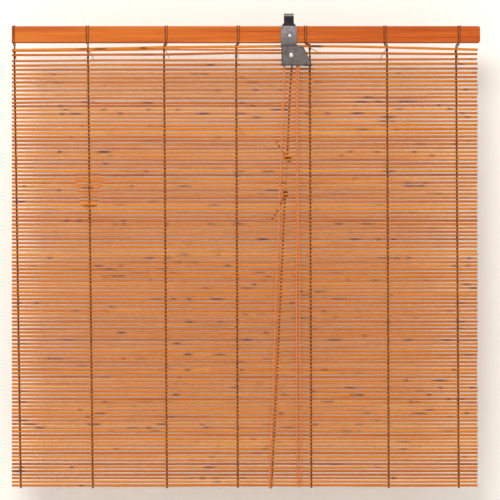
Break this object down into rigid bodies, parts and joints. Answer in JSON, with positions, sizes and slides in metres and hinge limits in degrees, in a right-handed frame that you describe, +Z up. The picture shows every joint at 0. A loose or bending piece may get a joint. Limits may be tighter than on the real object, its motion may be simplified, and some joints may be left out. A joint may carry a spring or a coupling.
{
  "type": "bamboo roll up blind",
  "caption": "Roll-up blind: a mat of thin round sticks twined with dark cord, hung from a flat wooden rail with a steel hook, a pulley lock and orange cords.",
  "frame": {"origin": "the centre of the round inside of the hanger's hook bend, where the rod or screw that carries the blind lies", "axes": "+X along the rail to the right as the face is looked at, +Y from the face to the back, +Z up"},
  "size_m": [0.6, 0.0288, 0.6095],
  "materials": {
    "rail_wood": "orange-stained wood with a thin clear coat",
    "stick_bamboo": "orange-stained bamboo, uneven, with dark nodes",
    "twine_brown": "dark brown waxed twine",
    "hanger_dark_steel": "blackened steel, worn at the edges",
    "lock_grey_steel": "dull grey-brown plated steel, rubbed",
    "rivet_bright": "bright plated steel",
    "staple_steel": "plain steel wire",
    "pulley_steel": "turned steel",
    "roller_steel": "knurled steel",
    "cord_orange": "braided salmon-orange cord",
    "cord_maroon": "braided dark red-brown cord",
    "cord_pale": "pale cotton cord"
  },
  "bodies": {
    "rail": {"head_rail": "rail_wood", "hanger_strip": "hanger_dark_steel", "lock_shell": "lock_grey_steel", "rail_rivet": "rivet_bright", "pulley_axle": "rivet_bright", "guide_pin": "rivet_bright", "cord_staple": "staple_steel", "rail_tie_1": "twine_brown", "rail_tie_2": "twine_brown", "rail_tie_3": "twine_brown", "rail_tie_4": "twine_brown", "rail_tie_5": "twine_brown", "rail_tie_6": "twine_brown", "rail_tie_7": "twine_brown", "mat_strip_01": "stick_bamboo", "mat_twine_01": "twine_brown", "lift_cord_front": "cord_orange", "lift_cord_back": "cord_maroon", "mend_cord": "cord_pale", "pull_cord": "cord_orange"},
    "pulley": {"pulley_wheel": "pulley_steel"},
    "roller": {"lock_roller": "roller_steel"},
    "strip_02": {"mat_strip_02": "stick_bamboo", "mat_twine_02": "twine_brown"},
    "strip_03": {"mat_strip_03": "stick_bamboo", "mat_twine_03": "twine_brown"},
    "strip_04": {"mat_strip_04": "stick_bamboo", "mat_twine_04": "twine_brown"},
    "strip_05": {"mat_strip_05": "stick_bamboo", "mat_twine_05": "twine_brown"},
    "strip_06": {"mat_strip_06": "stick_bamboo", "mat_twine_06": "twine_brown"},
    "strip_07": {"mat_strip_07": "stick_bamboo", "mat_twine_07": "twine_brown"},
    "strip_08": {"mat_strip_08": "stick_bamboo", "mat_twine_08": "twine_brown"},
    "strip_09": {"mat_strip_09": "stick_bamboo", "mat_twine_09": "twine_brown"},
    "strip_10": {"mat_strip_10": "stick_bamboo", "mat_twine_10": "twine_brown"},
    "strip_11": {"mat_strip_11": "stick_bamboo", "mat_twine_11": "twine_brown"},
    "strip_12": {"mat_strip_12": "stick_bamboo", "mat_twine_12": "twine_brown"},
    "strip_13": {"mat_strip_13": "stick_bamboo", "mat_twine_13": "twine_brown"},
    "strip_14": {"mat_strip_14": "stick_bamboo", "mat_twine_14": "twine_brown"},
    "strip_15": {"mat_strip_15": "stick_bamboo", "mat_twine_15": "twine_brown"},
    "strip_16": {"mat_strip_16": "stick_bamboo", "mat_twine_16": "twine_brown"},
    "strip_17": {"mat_strip_17": "stick_bamboo", "mat_twine_17": "twine_brown"},
    "strip_18": {"mat_strip_18": "stick_bamboo", "mat_twine_18": "twine_brown"}
  },
  "joints": [
    {"name": "pulley_spin", "type": "hinge", "parent": "rail", "child": "pulley", "pos_m": [0.003, -0.008, -0.0495], "axis": [0, 1, 0], "continuous": true},
    {"name": "roller_wedge", "type": "slide", "parent": "rail", "child": "roller", "axis": [-0.4295, 0, 0.9031], "range_m": [0, 0.0125]},
    {"name": "roll_02", "type": "hinge", "parent": "rail", "child": "strip_02", "pos_m": [-0.0565, 0.0013, -0.08438], "axis": [1, 0, 0], "range_deg": [0, 60], "deforming": ["lift_cord_front", "lift_cord_back", "mend_cord"]},
    {"name": "roll_03", "type": "hinge", "parent": "strip_02", "child": "strip_03", "pos_m": [-0.0565, 0.0013, -0.13062], "axis": [1, 0, 0], "range_deg": [0, 60]},
    {"name": "roll_04", "type": "hinge", "parent": "strip_03", "child": "strip_04", "pos_m": [-0.0565, 0.0013, -0.17536], "axis": [1, 0, 0], "range_deg": [0, 60]},
    {"name": "roll_05", "type": "hinge", "parent": "strip_04", "child": "strip_05", "pos_m": [-0.0565, 0.0013, -0.2146], "axis": [1, 0, 0], "range_deg": [0, 60]},
    {"name": "roll_06", "type": "hinge", "parent": "strip_05", "child": "strip_06", "pos_m": [-0.0565, 0.0013, -0.25356], "axis": [1, 0, 0], "range_deg": [0, 60]},
    {"name": "roll_07", "type": "hinge", "parent": "strip_06", "child": "strip_07", "pos_m": [-0.0565, 0.0013, -0.29229], "axis": [1, 0, 0], "range_deg": [0, 60]},
    {"name": "roll_08", "type": "hinge", "parent": "strip_07", "child": "strip_08", "pos_m": [-0.0565, 0.0013, -0.32596], "axis": [1, 0, 0], "range_deg": [0, 60]},
    {"name": "roll_09", "type": "hinge", "parent": "strip_08", "child": "strip_09", "pos_m": [-0.0565, 0.0013, -0.35949], "axis": [1, 0, 0], "range_deg": [0, 60]},
    {"name": "roll_10", "type": "hinge", "parent": "strip_09", "child": "strip_10", "pos_m": [-0.0565, 0.0013, -0.39294], "axis": [1, 0, 0], "range_deg": [0, 60]},
    {"name": "roll_11", "type": "hinge", "parent": "strip_10", "child": "strip_11", "pos_m": [-0.0565, 0.0013, -0.42145], "axis": [1, 0, 0], "range_deg": [0, 60]},
    {"name": "roll_12", "type": "hinge", "parent": "strip_11", "child": "strip_12", "pos_m": [-0.0565, 0.0013, -0.44967], "axis": [1, 0, 0], "range_deg": [0, 60]},
    {"name": "roll_13", "type": "hinge", "parent": "strip_12", "child": "strip_13", "pos_m": [-0.0565, 0.0013, -0.4778], "axis": [1, 0, 0], "range_deg": [0, 60]},
    {"name": "roll_14", "type": "hinge", "parent": "strip_13", "child": "strip_14", "pos_m": [-0.0565, 0.0013, -0.50137], "axis": [1, 0, 0], "range_deg": [0, 60]},
    {"name": "roll_15", "type": "hinge", "parent": "strip_14", "child": "strip_15", "pos_m": [-0.0565, 0.0013, -0.52452], "axis": [1, 0, 0], "range_deg": [0, 60]},
    {"name": "roll_16", "type": "hinge", "parent": "strip_15", "child": "strip_16", "pos_m": [-0.0565, 0.0013, -0.54775], "axis": [1, 0, 0], "range_deg": [0, 60]},
    {"name": "roll_17", "type": "hinge", "parent": "strip_16", "child": "strip_17", "pos_m": [-0.0565, 0.0013, -0.56626], "axis": [1, 0, 0], "range_deg": [0, 60]},
    {"name": "roll_18", "type": "hinge", "parent": "strip_17", "child": "strip_18", "pos_m": [-0.0565, 0.0013, -0.58471], "axis": [1, 0, 0], "range_deg": [0, 60]}
  ]
}
